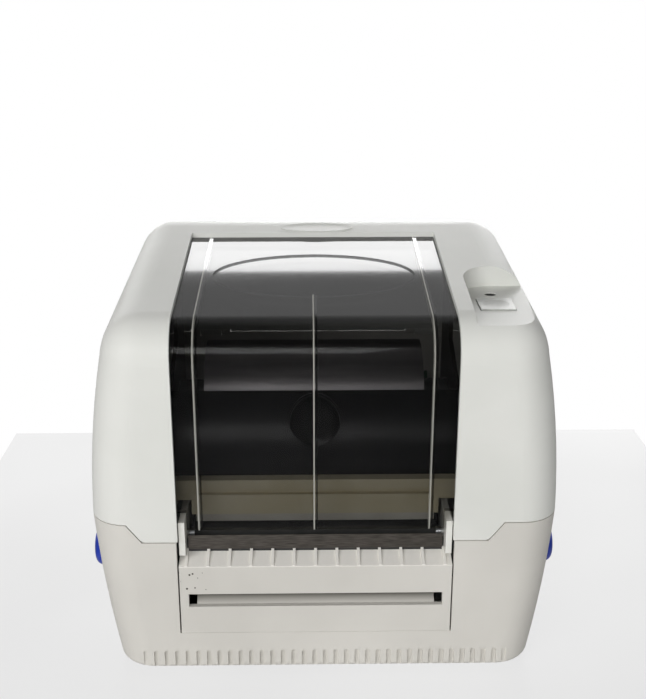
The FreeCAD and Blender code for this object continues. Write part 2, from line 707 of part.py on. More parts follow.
def release_button(side, label):
    """Domed side button with its inner flange and the latch arm that it carries."""
    body = new_body("Release" + label)
    outer = base_half_width(d.release_height) + d.release_proud
    start = side * (d.release_flange_place - d.release_flange)
    cap = new_sketch(body, "Cap" + label, "YZ_Plane", start)
    release_outline(cap, 0)
    feature = pad(body, cap, outer - d.release_flange_place + d.release_flange, back=side < 0)
    fillet(body, feature, "Dome" + label, d.release_dome, lambda e: all(near(v.X, side * outer) for v in e.Vertexes))
    flange = new_sketch(body, "Flange" + label, "YZ_Plane", start)
    release_outline(flange, d.release_flange)
    pad(body, flange, d.release_flange, back=side < 0)
    arm = new_sketch(body, "Arm" + label, "XZ_Plane", -at_depth(d.release_middle - d.latch_width / 2))
    inner = start - side * d.latch_thickness
    nose = side * (d.tongue_inner - d.slide_gap)
    outline(arm, [
        (inner, d.release_height), (start + side * d.seat_gap, d.release_height),
        (start + side * d.seat_gap, d.latch_top - d.latch_nose_tall), (nose, d.latch_top - d.latch_nose_tall),
        (nose, d.latch_top), (inner, d.latch_top),
    ][::side])
    pad(body, arm, d.latch_width, back=True)
    keep(body, "release_button_" + label.lower())


def front_panel():
    """Front panel with its sloping ledge, label ribs, liner slot and the ramp behind the slot."""
    body = new_body("FrontPanel")
    half = d.opening_width / 2
    side = new_sketch(body, "PanelSide", "YZ_Plane", mid)
    bottom = d.panel_bottom + d.seat_gap
    back = at_depth(d.ledge_depth)
    outline(side, [
        (front, bottom), (at_depth(d.panel_wall), bottom), (at_depth(d.panel_wall), d.panel_top - d.ledge_wall),
        (back, d.panel_top + d.ledge_rise - d.ledge_wall), (back, d.panel_top + d.ledge_rise), (front, d.panel_top),
    ])
    pad(body, side, half * 2, both=True)
    slot = new_sketch(body, "Slot", "XZ_Plane", -front)
    rectangle(slot, (mid - d.slot_width / 2, mid + d.slot_width / 2), (d.slot_bottom, d.slot_bottom + d.slot_height))
    pocket(body, slot, d.panel_wall)
    ramp = new_sketch(body, "Ramp", "YZ_Plane", mid)
    start = at_depth(d.panel_wall / 2)
    end = at_depth(d.slot_ramp_depth)
    outline(ramp, [
        (start, d.slot_bottom - d.slot_ramp_wall), (end, d.slot_bottom + d.slot_ramp_rise - d.slot_ramp_wall),
        (end, d.slot_bottom + d.slot_ramp_rise), (at_depth(d.panel_wall), d.slot_bottom), (start, d.slot_bottom),
    ])
    pad(body, ramp, d.slot_ramp_width, both=True)
    first = mid - d.label_rib_pitch * (d.label_rib_count - 1) / 2
    rib = new_sketch(body, "LabelRib", "YZ_Plane", first)
    outline(rib, [
        (front, d.panel_top - d.ledge_wall / 2), (back, d.panel_top + d.ledge_rise - d.ledge_wall / 2),
        (back, d.panel_top + d.ledge_rise + d.label_rib_height), (front, d.panel_top + d.label_rib_height / 4),
    ])
    ribs = pad(body, rib, d.label_rib_width, both=True)
    repeat(body, ribs, "LabelRibs", d.label_rib_pitch, d.label_rib_count)
    flanges = new_sketch(body, "PanelFlanges", "XZ_Plane", -at_depth(d.panel_wall / 2))
    for side in (-1, 1):
        edges = (mid + side * (half - d.panel_wall), mid + side * half)
        rectangle(flanges, edges[::side], (bottom, d.panel_top - d.ledge_wall))
    pad(body, flanges, d.panel_flange - d.panel_wall / 2, back=True)
    keep(body, "front_panel")


def tear_bar():
    body = new_body("TearBar")
    side = new_sketch(body, "TearSide", "YZ_Plane", mid)
    back = at_depth(d.tray_front) - d.seat_gap
    face = back - d.tear_bar_thickness
    outline(side, [
        (face, d.tear_bar_bottom), (back, d.tear_bar_bottom), (back, d.tear_bar_top - d.tear_bar_thickness),
        (face + d.seat_gap, d.tear_bar_top), (face, d.tear_bar_top),
    ])
    pad(body, side, d.tear_bar_length, both=True)
    keep(body, "tear_bar")


def media_tray():
    """Moulded tray: front lip, platen trough, ridge and roll well between two cheeks."""
    body = new_body("MediaTray")
    w = d.tray_wall
    top = [
        (at_depth(d.tray_front), d.cheek_top), (at_depth(d.tray_front) + w, d.cheek_top),
        (at_depth(d.tray_front) + w, d.trough_floor), (at_depth(d.ridge_front), d.trough_floor),
        (at_depth(d.ridge_front), d.ridge_top), (at_depth(d.ridge_back), d.ridge_top),
        (at_depth(d.well_front), d.well_floor), (at_depth(d.well_back), d.well_floor),
        (at_depth(d.tray_back), d.tray_back_height),
    ]
    bottom = [
        (at_depth(d.tray_back) + w, d.tray_back_height), (at_depth(d.well_back) + w, d.well_floor - w),
        (at_depth(d.well_front) - w, d.well_floor - w), (at_depth(d.ridge_back) - w, d.ridge_top - w),
        (at_depth(d.ridge_front) + w, d.ridge_top - w), (at_depth(d.ridge_front) + w, d.trough_floor - w),
        (at_depth(d.tray_front), d.trough_floor - w),
    ]
    floor = new_sketch(body, "TrayFloor", "YZ_Plane", mid)
    outline(floor, top + bottom)
    pad(body, floor, d.cheek_place * 2, both=True)
    lips = new_sketch(body, "LipEnds", "XZ_Plane", -at_depth(d.tray_front))
    for side in (-1, 1):
        edges = (mid + side * (d.bearing_place - d.seat_gap), mid + side * d.cheek_place)
        rectangle(lips, edges[::side], (d.trough_floor, d.cheek_top + w))
    pocket(body, lips, w)
    for side in (-1, 1):
        cheek = new_sketch(body, f"Cheek{side + 1}", "YZ_Plane", mid + side * d.cheek_place)
        outline(cheek, [(at_depth(d.tray_back) + w, d.cheek_top), (at_depth(d.tray_front), d.cheek_top)]
                + bottom[::-1])
        pad(body, cheek, d.cheek_thickness, back=side < 0)
    ways = new_sketch(body, "ShaftWays", "YZ_Plane")
    circle(ways, platen_y, d.platen_height, d.shaft_diameter + d.parting_gap * 2)
    pocket(body, ways, both=True)
    slide = new_sketch(body, "HolderWay", "XY_Plane", d.well_floor + w)
    reach = d.holder_reach + d.holder_thickness
    rectangle(slide, (mid - reach, mid + reach), (holder_y - d.neck_width / 2 - d.slide_gap,
                                                  holder_y + d.neck_width / 2 + d.slide_gap))
    pocket(body, slide, w * 3)
    keep(body, "media_tray")
    sensor = block("Sensor", (mid - d.sensor_width / 2, mid + d.sensor_width / 2),
                   (at_depth(d.ridge_front) + d.sensor_length, at_depth(d.ridge_front) + d.sensor_length * 2),
                   (d.ridge_top + d.seat_gap, d.ridge_top + d.sensor_tall))
    keep(sensor, "gap_sensor")



# Feed drive

def gear_shape(teeth, width):
    """A straight-cut gear round X: involute flanks drawn with three points a side, a little backlash taken off."""
    pitch = d.gear_module.number * teeth / 2
    base = pitch * math.cos(math.radians(20))
    tip = pitch + d.gear_module.number
    foot = pitch - 1.25 * d.gear_module.number
    spread = math.tan(math.radians(20)) - math.radians(20)
    half = math.pi / (2 * teeth) - d.gear_backlash.number / (2 * pitch) + spread
    flank = [(foot, half)]
    for radius in (max(base, foot + 0.05), (pitch + max(base, foot)) / 2, pitch, (pitch + tip) / 2, tip):
        roll = math.sqrt(max((radius / base) ** 2 - 1, 0))
        flank.append((radius, half - (roll - math.atan(roll))))
    points = []
    for tooth in range(teeth):
        middle = 2 * math.pi * tooth / teeth
        for radius, turn in [(r, -a) for r, a in flank] + [(r, a) for r, a in flank[::-1]]:
            points.append(V(0, radius * math.cos(middle + turn), radius * math.sin(middle + turn)))
    wire = Part.makePolygon(points + points[:1])
    return Part.Face(wire).extrude(V(width, 0, 0))


def gear(name, teeth, place, phase):
    """A gear whose first tooth points at the phase angle, set beside the gear plate."""
    wheel = doc.addObject("Part::Feature", name)
    wheel.Shape = gear_shape(int(teeth.number), d.gear_width.number)
    turn = FreeCAD.Rotation(V(1, 0, 0), phase)
    wheel.Placement = FreeCAD.Placement(V(gear_left.number, place[0].number, place[1].number), turn)
    return wheel


plate_right = mid - d.cheek_place - d.cheek_thickness
plate_left = plate_right - d.gear_plate_thickness
gear_right = plate_left - d.slide_gap * 2
gear_left = gear_right - d.gear_width
first_reach = d.gear_module * (d.platen_teeth + d.idler_teeth) / 2 + d.gear_spread
second_reach = d.gear_module * (d.idler_teeth + d.motor_teeth) / 2 + d.gear_spread
idler_place = (platen_y + first_reach * cosine(d.idler_fall), d.platen_height - first_reach * sine(d.idler_fall))
motor_place = (idler_place[0] + second_reach * cosine(d.motor_fall),
               idler_place[1] - second_reach * sine(d.motor_fall))
platen_place = (platen_y, d.platen_height)
bearing_outer = d.bearing_place + d.bearing_thickness


def feed_drive():
    """Platen, its gear, the idler on its pin, and the stepping motor with its pinion, on one plate."""
    half = d.platen_length / 2
    tube = rod("PlatenTube", "x", d.platen_radius * 2, mid - half, mid + half, platen_place)
    core = rod("PlatenCore", "x", d.shaft_diameter, mid - half * 2, mid + half * 2, platen_place)
    keep(cut("PlatenRubber", tube, [core]), "platen_rubber")
    shaft = rod("PlatenShaft", "x", d.shaft_diameter, gear_left, mid + bearing_outer + d.parting_gap, platen_place)
    keep(shaft, "platen_shaft")
    wheel = gear("PlatenWheel", d.platen_teeth, platen_place, -d.idler_fall.number)
    hole = rod("PlatenWheelBore", "x", d.shaft_diameter, gear_left - 1, gear_right + 1, platen_place)
    keep(cut("PlatenGear", wheel, [hole]), "platen_gear")

    idler_tooth = 360 / d.idler_teeth.number
    idler_phase = 180 - d.idler_fall.number + idler_tooth / 2
    wheel = gear("IdlerWheel", d.idler_teeth, idler_place, idler_phase)
    hole = rod("IdlerBore", "x", d.idler_pin_diameter + d.running_gap * 2, gear_left - 1, gear_right + 1, idler_place)
    keep(cut("IdlerGear", wheel, [hole]), "idler_gear")
    pin = rod("IdlerPin", "x", d.idler_pin_diameter, gear_left, plate_right, idler_place)

    motor_tooth = 360 / d.motor_teeth.number
    behind = (-d.motor_fall.number - idler_phase) / idler_tooth
    motor_phase = 180 - d.motor_fall.number + motor_tooth / 2 + (behind - round(behind)) * motor_tooth
    wheel = gear("MotorWheel", d.motor_teeth, motor_place, motor_phase)
    hole = rod("MotorBore", "x", d.motor_shaft_diameter, gear_left - 1, gear_right + 1, motor_place)
    keep(cut("MotorPinion", wheel, [hole]), "motor_pinion")
    spindle = rod("MotorSpindle", "x", d.motor_shaft_diameter, gear_left, plate_right, motor_place)
    keep(spindle, "motor_shaft")

    low = motor_place[1] - d.motor_size / 2
    plate = block("Plate", (plate_left, plate_right), (at_depth(d.tray_front), motor_place[0] + d.motor_size / 2),
                  (inner_floor, d.cheek_top))
    ways = []
    for name, place, diameter in (
        ("PlatenWay", platen_place, d.shaft_diameter + d.parting_gap * 2),
        ("MotorWay", motor_place, d.motor_shaft_diameter + d.running_gap * 2),
    ):
        ways.append(rod(name, "x", diameter, plate_left - 1, plate_right + 1, place))
    keep(fuse("PlateWithPin", [cut("DrilledPlate", plate, ways), pin]), "gear_plate")
    frame = block("MotorFrame", (plate_right, plate_right + d.motor_length),
                  (motor_place[0] - d.motor_size / 2, motor_place[0] + d.motor_size / 2),
                  (low, low + d.motor_size))
    keep(frame, "motor_body")


def bearing_plates():
    """Pale bearing plates at the ends of the platen, standing up behind the lid's legs."""
    plates = []
    for side in (-1, 1):
        edges = (mid + side * d.bearing_place, mid + side * bearing_outer)
        name = f"Bearing{side + 1}"
        plate = block(name + "Plate", edges[::side], (at_depth(d.bearing_front), at_depth(d.bearing_back)),
                      (d.bearing_bottom, d.bearing_top))
        ring = rod(name + "Ring", "x", d.bearing_ring, edges[::side][0], edges[::side][1], platen_place)
        way = rod(name + "Way", "x", d.shaft_diameter + d.running_gap * 2, edges[::side][0] - 1,
                  edges[::side][1] + 1, platen_place)
        plates.append(cut(name, fuse(name + "Blank", [plate, ring]), [way]))
    keep(group("Bearings", plates), "bearing_plates")


def roll_holders():
    """Two holders that slide towards each other, each with a neck through the tray and a roll hub."""
    for side, label in ((-1, "Left"), (1, "Right")):
        outer = mid + side * (d.holder_reach + d.holder_thickness)
        inner = mid + side * d.holder_reach
        span = (inner, outer)[::side]
        low = d.well_floor + d.slide_gap
        blade = block("Blade" + label, span, (holder_y - d.holder_width / 2, holder_y + d.holder_width / 2),
                      (low, d.roll_axis_height))
        crown = rod("Crown" + label, "x", d.holder_width, span[0], span[1], (holder_y, d.roll_axis_height))
        neck = block("Neck" + label, span, (holder_y - d.neck_width / 2, holder_y + d.neck_width / 2),
                     (d.well_floor - d.tray_wall - d.slide_gap - d.rail_height, low + d.holder_thickness))
        reach = inner - side * d.hub_length
        hub = rod("Hub" + label, "x", d.hub_radius * 2, (reach, inner)[::side][0], (reach, inner)[::side][1],
                  (holder_y, d.roll_axis_height))
        keep(fuse("Holder" + label, [blade, crown, neck, hub]), "roll_holder_" + label.lower())


# Ribbon drive and print head, carried by the lid

def spot(depth, height):
    return (at_depth(depth), height)


def ribbon_plates():
    """Two side plates hung from the lid, with the tie bar between them."""
    places = []
    for side in (-1, 1):
        inner = mid + side * d.ribbon_plate_place
        outer = inner + side * d.ribbon_plate_thickness
        body = new_body(f"RibbonPlate{side + 1}")
        drawing = new_sketch(body, f"PlateSide{side + 1}", "YZ_Plane", inner)
        outline(drawing, [
            (at_depth(d.carriage_front), d.carriage_step), (at_depth(d.carriage_back), d.carriage_step),
            (at_depth(d.ear_back), d.supply_height - d.roll_radius),
            (at_depth(d.ear_back), top_height(d.ear_back, d.wall)), (at_depth(d.ear_front), top_height(d.ear_front, d.wall)),
            (at_depth(d.ear_front), d.supply_height + d.roll_radius), (at_depth(d.cover_front), d.cover_bend_height),
            (at_depth(d.carriage_front), d.carriage_top),
        ])
        pad(body, drawing, d.ribbon_plate_thickness, back=side < 0)
        bores = new_sketch(body, f"SpindleWays{side + 1}", "YZ_Plane", inner)
        for depth, height in ((d.supply_depth, d.supply_height), (d.rewind_depth, d.rewind_height)):
            circle(bores, at_depth(depth), height, d.journal_diameter + d.running_gap * 2)
        pocket(body, bores, both=True)
        places.append(body)
    tie = rod("TieBar", "x", d.tie_diameter, mid - d.ribbon_plate_place, mid + d.ribbon_plate_place,
              spot(d.tie_depth, d.tie_height))
    keep(fuse("RibbonFrame", places + [tie]), "ribbon_frame")


def spindle(name, place):
    """A spindle with narrower journals that run in the ribbon plates."""
    shoulder = d.ribbon_plate_place - d.slide_gap
    end = d.ribbon_plate_place + d.ribbon_plate_thickness
    thick = rod(name + "Barrel", "x", d.spindle_diameter, mid - shoulder, mid + shoulder, place)
    thin = rod(name + "Journals", "x", d.journal_diameter, mid - end, mid + end, place)
    return fuse(name + "Spindle", [thick, thin])


def ribbon_spools():
    """Supply spindle with its ribbon roll, and the rewind spindle with its core and side discs."""
    supply = spot(d.supply_depth, d.supply_height)
    keep(spindle("Supply", supply), "supply_spindle")
    half = d.roll_length / 2
    roll = rod("RollOutside", "x", d.roll_radius * 2, mid - half, mid + half, supply)
    bore = rod("RollBore", "x", d.spindle_diameter, mid - half - 1, mid + half + 1, supply)
    keep(cut("RibbonRoll", roll, [bore]), "ribbon_roll")
    rewind = spot(d.rewind_depth, d.rewind_height)
    keep(spindle("Rewind", rewind), "rewind_spindle")
    pieces = [rod("Core", "x", d.core_radius * 2, mid - half, mid + half, rewind)]
    for side in (-1, 1):
        edges = (mid + side * half, mid + side * (d.disc_place + d.disc_thickness))
        pieces.append(rod(f"Disc{side + 1}", "x", d.rewind_disc_radius * 2, edges[::side][0], edges[::side][1],
                          rewind))
    bore = rod("CoreBore", "x", d.spindle_diameter, mid - d.ribbon_plate_place, mid + d.ribbon_plate_place,
               rewind)
    keep(cut("RewindCore", fuse("CoreWithDiscs", pieces), [bore]), "rewind_core")



def print_head():
    """Cream carriage across the ribbon frame with the heated head bonded under it."""
    y = (at_depth(d.carriage_front), at_depth(d.carriage_back))
    wide = d.ribbon_plate_place
    narrow = d.carriage_foot_length / 2
    beam = block("CarriageBeam", (mid - wide, mid + wide), y, (d.carriage_step, d.carriage_top))
    foot = block("CarriageFoot", (mid - narrow, mid + narrow), y, (d.carriage_bottom, d.carriage_step))
    inside = narrow - d.carriage_wall
    groove = block("CarriageGroove", (mid - inside, mid + inside),
                   (at_depth(d.carriage_front) - 1, at_depth(d.carriage_front) + d.carriage_wall),
                   (d.carriage_step + d.carriage_wall, d.carriage_step + d.carriage_wall * 2))
    keep(cut("Carriage", fuse("CarriageBlank", [beam, foot]), [groove]), "head_carriage")
    half = d.head_length / 2
    plate = block("HeadPlate", (mid - half, mid + half), y, (d.carriage_bottom - d.head_thickness, d.carriage_bottom))
    keep(plate, "print_head")
    cover = new_body("HeadCover")
    side = new_sketch(cover, "CoverSide", "YZ_Plane", mid)
    wall = d.cover_wall
    outline(side, [
        (at_depth(d.cover_front), d.carriage_top), (at_depth(d.cover_front) + wall, d.carriage_top),
        (at_depth(d.cover_bend_depth) + wall, d.cover_bend_height), (at_depth(d.cover_top_depth) + wall, d.cover_top),
        (at_depth(d.cover_top_depth), d.cover_top + wall), (at_depth(d.cover_bend_depth), d.cover_bend_height + wall),
    ])
    pad(cover, side, wide * 2, both=True)
    scoop = new_sketch(cover, "ThumbScoop", "XZ_Plane", -front)
    height = d.cover_bend_height - d.scoop_tall / 4
    rectangle(scoop, (mid - d.scoop_width / 2, mid + d.scoop_width / 2),
              (height - d.scoop_tall / 4, height + d.scoop_tall / 4))
    pocket(cover, scoop, d.cover_top_depth)
    keep(cover, "head_cover")


# Rear

def rear_sockets():
    """Main board across the rear with its sockets, and the power switch with its rocker."""
    z = d.socket_height
    back = at_depth(d.board_depth)
    low = z - d.board_height / 2
    board = block("Board", (-d.board_width / 2, d.board_width / 2), (back - d.board_thickness, back),
                  (low, low + d.board_height))
    keep(board, "main_board")
    usb = block("UsbShell", (d.usb_x - d.usb_width / 2, d.usb_x + d.usb_width / 2), (back, rear),
                (z - d.usb_height / 2, z + d.usb_height / 2))
    mouth = block("UsbMouth", (d.usb_x - d.usb_width / 3, d.usb_x + d.usb_width / 3), (rear - d.usb_height / 2, rear + 1),
                  (z - d.usb_height / 3, z + d.usb_height / 3))
    keep(cut("UsbSocket", usb, [mouth]), "usb_socket")
    serial = block("SerialShell", (d.serial_x - d.serial_width / 2, d.serial_x + d.serial_width / 2), (back, rear),
                   (z - d.serial_height / 2, z + d.serial_height / 2))
    mouth = block("SerialMouth", (d.serial_x - d.serial_width / 3, d.serial_x + d.serial_width / 3),
                  (rear - d.serial_height / 3, rear + 1), (z - d.serial_height / 3, z + d.serial_height / 3))
    keep(cut("SerialSocket", serial, [mouth]), "serial_socket")
    inlet = block("InletShell", (d.inlet_x - d.inlet_size / 2, d.inlet_x + d.inlet_size / 2), (back, rear),
                  (z - d.inlet_size / 2, z + d.inlet_size / 2))
    bore = rod("InletBore", "y", d.inlet_bore, rear - d.inlet_size / 2, rear + 1, (d.inlet_x, z))
    pin = rod("InletPin", "y", d.inlet_pin, rear - d.inlet_size / 2 - 1, rear - 1, (d.inlet_x, z))
    keep(fuse("InletWithPin", [cut("InletBored", inlet, [bore]), pin]), "power_inlet")
    x = (d.switch_x - d.switch_width / 2, d.switch_x + d.switch_width / 2)
    case = block("SwitchCase", x, (back, rear), (z - d.switch_tall / 2, z + d.switch_tall / 2))
    trim = d.switch_bezel
    axis_y = rear - d.rocker_inset
    room = block("SwitchRoom", (x[0] + trim, x[1] - trim), (back + trim, rear + 1),
                 (z - d.switch_tall / 2 + trim, z + d.switch_tall / 2 - trim))
    pivot = rod("SwitchPivot", "x", d.rocker_pin, x[0], x[1], (axis_y, z))
    keep(fuse("SwitchWithPivot", [cut("SwitchBored", case, [room]), pivot]), "switch_body")
    gap = trim + d.slide_gap
    rocker = new_body("Rocker")
    face = new_sketch(rocker, "RockerSide", "YZ_Plane", d.switch_x)
    reach = d.rocker_radius
    outline(face, [
        (axis_y - d.rocker_pin, z - d.rocker_pin), (axis_y + d.rocker_rise, z - reach),
        (axis_y + d.rocker_rise / 2, z), (axis_y + d.rocker_rise, z + reach), (axis_y - d.rocker_pin, z + d.rocker_pin),
    ])
    pad(rocker, face, d.switch_width - gap * 2, both=True)
    hole = new_sketch(rocker, "RockerHole", "YZ_Plane", d.switch_x)
    circle(hole, axis_y, z, d.rocker_pin + d.running_gap * 2)
    pocket(rocker, hole, both=True)
    keep(rocker, "power_rocker")


# Assembly

lid_shell()
lid_window()
feed_button()
key_board()
base_housing()
rubber_feet()
base_screws()
hinge_pins()
release_button(-1, "Left")
release_button(1, "Right")
front_panel()
tear_bar()
media_tray()
feed_drive()
bearing_plates()
roll_holders()
ribbon_plates()
ribbon_spools()
print_head()
rear_sockets()
doc.recompute()

for item in doc.Objects:
    if "Invalid" in item.State or "Error" in item.State:
        raise RuntimeError(f"{item.Name} did not build: {item.State}")
os.makedirs("parts", exist_ok=True)
for label, item in nodes.items():
    shape = item.Shape
    if shape.isNull() or not shape.isValid():
        raise RuntimeError(f"{label} has no valid shape")
    shape.exportStep(f"parts/{label}.step")
    box = shape.BoundBox
    print(label, len(shape.Solids), [round(v, 2) for v in (box.XMin, box.XMax, box.YMin, box.YMax, box.ZMin, box.ZMax)])
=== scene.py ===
"""Finishes, small trim, light and camera for the desktop label printer."""
import math

import bpy
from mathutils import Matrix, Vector


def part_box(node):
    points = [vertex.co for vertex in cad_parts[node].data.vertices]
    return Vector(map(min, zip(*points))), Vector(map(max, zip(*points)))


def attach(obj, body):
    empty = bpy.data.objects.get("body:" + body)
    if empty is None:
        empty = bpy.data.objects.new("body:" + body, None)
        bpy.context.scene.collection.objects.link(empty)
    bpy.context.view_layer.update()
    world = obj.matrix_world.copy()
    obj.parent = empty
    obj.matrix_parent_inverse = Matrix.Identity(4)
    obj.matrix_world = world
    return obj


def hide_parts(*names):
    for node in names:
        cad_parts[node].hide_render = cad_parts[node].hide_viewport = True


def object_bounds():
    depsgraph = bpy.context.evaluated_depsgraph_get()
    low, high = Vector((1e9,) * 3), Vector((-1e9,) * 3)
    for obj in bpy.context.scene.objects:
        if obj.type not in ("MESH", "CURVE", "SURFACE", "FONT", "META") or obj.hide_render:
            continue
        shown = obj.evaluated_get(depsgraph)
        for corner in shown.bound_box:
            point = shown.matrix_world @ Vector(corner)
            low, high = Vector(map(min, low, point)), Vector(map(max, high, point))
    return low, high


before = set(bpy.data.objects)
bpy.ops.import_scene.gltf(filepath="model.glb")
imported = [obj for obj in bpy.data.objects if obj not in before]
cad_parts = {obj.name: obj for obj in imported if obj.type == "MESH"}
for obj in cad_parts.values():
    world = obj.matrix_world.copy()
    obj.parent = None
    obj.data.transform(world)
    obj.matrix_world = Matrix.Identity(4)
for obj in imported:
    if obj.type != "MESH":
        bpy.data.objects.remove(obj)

cad_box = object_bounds()
window_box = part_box("lid_window")
cover_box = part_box("head_cover")

# lengths are in metres, those from the frame to a hundredth of a millimetre; depths run back from the front
MM = 0.001
FRONT = round(cad_box[0][1], 5)
SMOOTH_ANGLE = math.radians(35)
MERGE_DISTANCE = 0.01 * MM

# the window's ribs; a flank is a strip's middle and half its width, measured from the rib's own middle
WINDOW_MIDDLE = round((window_box[0][0] + window_box[1][0]) / 2, 5)
RIB_PITCH = 52.5 * MM
RIB_REACH = 5 * MM
# the pale flank holds a painted highlight and the black flank a painted dark line of shade
PAINTED_HIGHLIGHT_FLANK = (-0.6 * MM, 0.3 * MM)
PAINTED_SHADE_FLANK = (0.65 * MM, 0.4 * MM)
OVAL_EDGE_DEPTH = 39.4 * MM

# where the front panel is painted and dusty: painted light on its ledge, painted shade in the depth of its
# liner slot and dust in a corner
LEDGE_UNDERSIDE = 55 * MM
LEDGE_LIGHT_START = 56.8 * MM
LEDGE_LIGHT_FULL = 57.6 * MM
SLOT_SHADE_START_DEPTH = 1.8 * MM
SLOT_SHADE_FULL_DEPTH = 5.5 * MM
DUST_START = -46 * MM
DUST_FULL = -56 * MM
DUST_HEIGHT = 50 * MM
DUST_SPREAD = 5 * MM

# the bare badge and the lid's sloping top under it
LID_FRONT_HEIGHT = 173 * MM
LID_CREST_HEIGHT = 189.3 * MM
LID_CREST_DEPTH = 141 * MM
LID_SLOPE = (LID_CREST_HEIGHT - LID_FRONT_HEIGHT) / LID_CREST_DEPTH
BADGE_HALF_SIZES = (19 * MM, 7.2 * MM)
BADGE_DEPTH = 124 * MM
BADGE_OFFSET = 2 * MM
BADGE_SINK = 0.1 * MM
BADGE_EDGE = 0.35 * MM
BADGE_RIM = ((0.7 * MM, 0.25 * MM), (0.5 * MM, -0.12 * MM))

# the inner cover's arc, where a place is a depth and a height, and the thumb scoop in its front
COVER_WIDTH = round(cover_box[1][0] - cover_box[0][0], 5)
COVER_WALL = 2 * MM
COVER_FOOT = (24.8 * MM, 92.3 * MM)
COVER_CENTRE = (62 * MM, 97 * MM)
COVER_TURN = math.radians(62)
COVER_STEPS = 26
SCOOP_HALF_SIZES = (12.3 * MM, 6 * MM, 15.5 * MM)
SCOOP_DEPTH = 29.8 * MM
SCOOP_HEIGHT = 115 * MM
SCOOP_MARGIN = 0.6 * MM
SCOOP_WALL = 0.8 * MM

# the photograph's view, with its width and focal length in pixels
PHOTO_WIDTH = 646
PHOTO_FOCAL = 1094
SENSOR_WIDTH = 36
CAMERA_PLACE = (-8.4 * MM, -584 * MM, 319.5 * MM)
CAMERA_DIP = math.radians(19.5)
CAMERA_TURN = math.radians(-0.94)


def linear(colour):
    """sRGB hex text to a linear colour with full cover."""
    parts = [int(colour[i:i + 2], 16) / 255 for i in (1, 3, 5)]
    return [p / 12.92 if p <= 0.04045 else ((p + 0.055) / 1.055) ** 2.4 for p in parts] + [1.0]


def add(tree, kind, settings=None, links=None):
    """Adds a node, sets its options and sockets by name or number, and links its inputs."""
    node = tree.nodes.new(kind)
    for name, value in (settings or {}).items():
        if isinstance(name, str) and hasattr(node, name):
            setattr(node, name, value)
        else:
            node.inputs[name].default_value = value
    for name, source in (links or {}).items():
        tree.links.new(source, node.inputs[name])
    return node


def new_material(name):
    """An empty material with its output, and the Object coordinates that its patterns use."""
    material = bpy.data.materials.new(name)
    material.use_nodes = True
    tree = material.node_tree
    tree.nodes.clear()
    output = add(tree, "ShaderNodeOutputMaterial")
    places = add(tree, "ShaderNodeTexCoord").outputs["Object"]
    return material, tree, output, places


def per_mm(size):
    """Texture scale whose features are about this many millimetres wide."""
    return 1 / (size * MM)


def tint(tree, pattern, dull, pale):
    """Colour that drifts from dull to pale over the middle of a pattern's range."""
    drift = add(tree, "ShaderNodeMapRange", {"From Min": 0.35, "From Max": 0.65}, {"Value": pattern})
    colour = add(tree, "ShaderNodeMix", {"data_type": "RGBA", "A": linear(dull), "B": linear(pale)},
                 {"Factor": drift.outputs["Result"]})
    return colour.outputs["Result"]


def moulded(name, pale, dull, grain, relief, roughness, mottle=70.0, gloss=0.5, dust_and_painted_light=None):
    """Moulded plastic: cloudy colour drift, fine grain in relief and in gloss, sizes in millimetres."""
    material, tree, output, places = new_material(name)
    cloud = add(tree, "ShaderNodeTexNoise", {"Scale": per_mm(mottle), "Detail": 3.0}, {"Vector": places})
    colour = tint(tree, cloud.outputs["Fac"], dull, pale)
    # an optional step that adds dust and painted light to the colour, as on the front panel
    if dust_and_painted_light:
        colour = dust_and_painted_light(tree, places, colour)
    grit = add(tree, "ShaderNodeTexNoise", {"Scale": per_mm(grain), "Detail": 2.0}, {"Vector": places})
    shine = add(tree, "ShaderNodeMapRange", {"To Min": roughness - 0.06, "To Max": roughness + 0.08},
                {"Value": grit.outputs["Fac"]})
    bump = add(tree, "ShaderNodeBump", {"Strength": 0.35, "Distance": relief * MM},
               {"Height": grit.outputs["Fac"]})
    shader = add(tree, "ShaderNodeBsdfPrincipled", {"IOR": 1.5, "Specular IOR Level": gloss}, {
        "Base Color": colour, "Roughness": shine.outputs["Result"], "Normal": bump.outputs["Normal"]})
    tree.links.new(shader.outputs["BSDF"], output.inputs["Surface"])
    return material


def metal(name, pale, dull, scratch, roughness):
    """Rolled or ground metal: streaks along X, drawn with the given spacing in millimetres."""
    material, tree, output, places = new_material(name)
    stretch = add(tree, "ShaderNodeMapping", {"Scale": (0.06, 1.0, 1.0)}, {"Vector": places})
    streak = add(tree, "ShaderNodeTexNoise", {"Scale": per_mm(scratch), "Detail": 4.0},
                 {"Vector": stretch.outputs["Vector"]})
    colour = tint(tree, streak.outputs["Fac"], dull, pale)
    shine = add(tree, "ShaderNodeMapRange", {"To Min": roughness - 0.08, "To Max": roughness + 0.1},
                {"Value": streak.outputs["Fac"]})
    bump = add(tree, "ShaderNodeBump", {"Strength": 0.2, "Distance": 0.02 * MM},
               {"Height": streak.outputs["Fac"]})
    shader = add(tree, "ShaderNodeBsdfPrincipled", {"Metallic": 1.0}, {
        "Base Color": colour, "Roughness": shine.outputs["Result"], "Normal": bump.outputs["Normal"]})
    tree.links.new(shader.outputs["BSDF"], output.inputs["Surface"])
    return material


